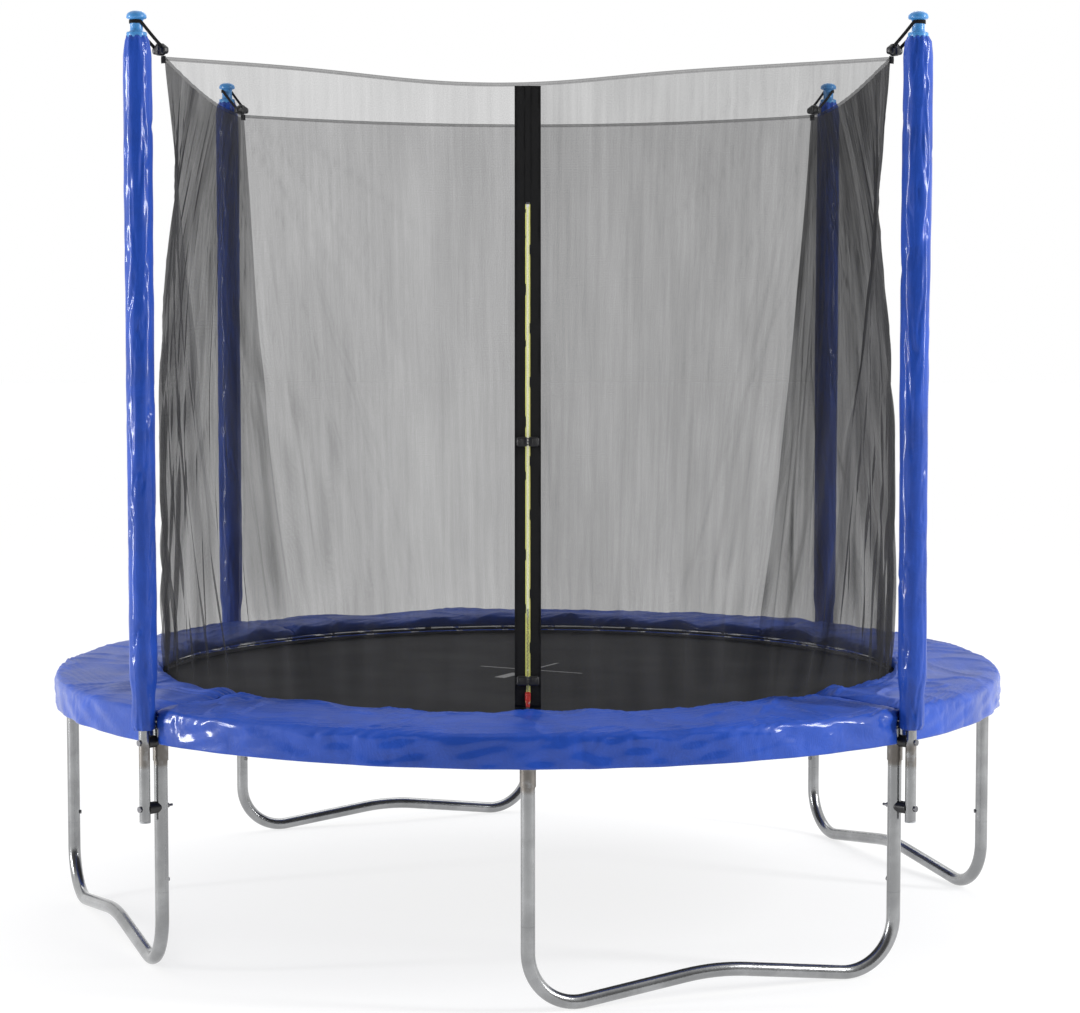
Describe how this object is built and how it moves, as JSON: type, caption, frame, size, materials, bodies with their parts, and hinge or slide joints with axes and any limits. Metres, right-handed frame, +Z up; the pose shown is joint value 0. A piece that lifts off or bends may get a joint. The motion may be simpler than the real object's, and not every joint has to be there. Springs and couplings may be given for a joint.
{
  "type": "trampoline with safety enclosure",
  "caption": "Round garden trampoline on bent tube legs, with a sprung woven mat, a blue padded rim and a zipped safety net hung from padded poles.",
  "frame": {"origin": "on the ground, under the centre of the jumping mat", "axes": "+Z is up, the zipped door faces -Y, +X is to the right of a person who faces the door"},
  "size_m": [2.4496, 2.4496, 2.212],
  "materials": {
    "galvanised_tube": "galvanised steel tube, dull grey, with zinc paint at the welds",
    "pvc_cover": "glossy royal blue coated fabric, wrinkled and welded",
    "cap_plastic": "light azure moulded plastic",
    "foam": "white closed-cell foam",
    "plug_plastic": "grey moulded plastic",
    "black_plastic": "black moulded plastic with a light grain",
    "dark_steel": "dark plated steel",
    "spring_steel": "bright zinc plated spring wire",
    "mat_fabric": "black woven polypropylene mat",
    "webbing": "black woven webbing",
    "net_mesh": "fine black knitted mesh, seen through",
    "zip_plastic": "pale yellow-green nylon zip coil",
    "slider_metal": "red enamelled die-cast metal"
  },
  "bodies": {
    "root": {"top_rail_1": "galvanised_tube", "top_rail_2": "galvanised_tube", "top_rail_3": "galvanised_tube", "top_rail_4": "galvanised_tube", "top_rail_5": "galvanised_tube", "top_rail_6": "galvanised_tube", "top_rail_7": "galvanised_tube", "top_rail_8": "galvanised_tube", "leg_base_1": "galvanised_tube", "leg_base_2": "galvanised_tube", "leg_base_3": "galvanised_tube", "leg_base_4": "galvanised_tube", "leg_uprights_1": "galvanised_tube", "leg_uprights_2": "galvanised_tube", "leg_uprights_3": "galvanised_tube", "leg_uprights_4": "galvanised_tube", "pole_lower_1": "galvanised_tube", "pole_lower_2": "galvanised_tube", "pole_lower_3": "galvanised_tube", "pole_lower_4": "galvanised_tube", "pole_upper_1": "galvanised_tube", "pole_upper_2": "galvanised_tube", "pole_upper_3": "galvanised_tube", "pole_upper_4": "galvanised_tube", "pole_sleeve_1": "pvc_cover", "pole_sleeve_2": "pvc_cover", "pole_sleeve_3": "pvc_cover", "pole_sleeve_4": "pvc_cover", "pad_section_1": "pvc_cover", "pad_section_2": "pvc_cover", "pad_section_3": "pvc_cover", "pad_section_4": "pvc_cover", "pole_caps": "cap_plastic", "pole_foams": "foam", "pole_end_plugs": "plug_plastic", "pole_spacers": "black_plastic", "pole_bolts": "dark_steel", "leg_screws": "dark_steel", "springs": "spring_steel", "pad_foams": "foam", "pad_ties": "webbing", "net_front_left": "net_mesh", "net_front_right": "net_mesh", "net_right": "net_mesh", "net_back": "net_mesh", "net_left": "net_mesh", "net_top_hem": "webbing", "net_skirt": "webbing", "door_tapes": "webbing", "zip_teeth": "zip_plastic", "door_buckle_sockets": "black_plastic", "net_straps": "webbing", "strap_buckles": "black_plastic"},
    "mat": {"jump_mat": "mat_fabric", "mat_hem": "webbing", "v_rings": "spring_steel"},
    "slider": {"zip_slider": "slider_metal"},
    "pull": {"zip_pull": "slider_metal"},
    "clip_top": {"door_clip_top": "black_plastic"},
    "clip_bottom": {"door_clip_bottom": "black_plastic"}
  },
  "joints": [
    {"name": "mat_bounce", "type": "slide", "parent": "root", "child": "mat", "axis": [0, 0, 1], "range_m": [-0.15, 0], "stiffness_N_per_m": 4000, "springref_m": 0.03, "deforming": ["springs"]},
    {"name": "zip_slide", "type": "slide", "parent": "root", "child": "slider", "axis": [0, 0.0924, 0.9957], "range_m": [0, 1.1]},
    {"name": "zip_pull_swing", "type": "hinge", "parent": "slider", "child": "pull", "pos_m": [0, -0.95068, 0.66966], "axis": [-1, 0, 0], "range_deg": [0, 150]},
    {"name": "clip_top_release", "type": "slide", "parent": "root", "child": "clip_top", "axis": [1, 0, 0], "range_m": [0, 0.03]},
    {"name": "clip_bottom_release", "type": "slide", "parent": "root", "child": "clip_bottom", "axis": [1, 0, 0], "range_m": [0, 0.03]}
  ]
}
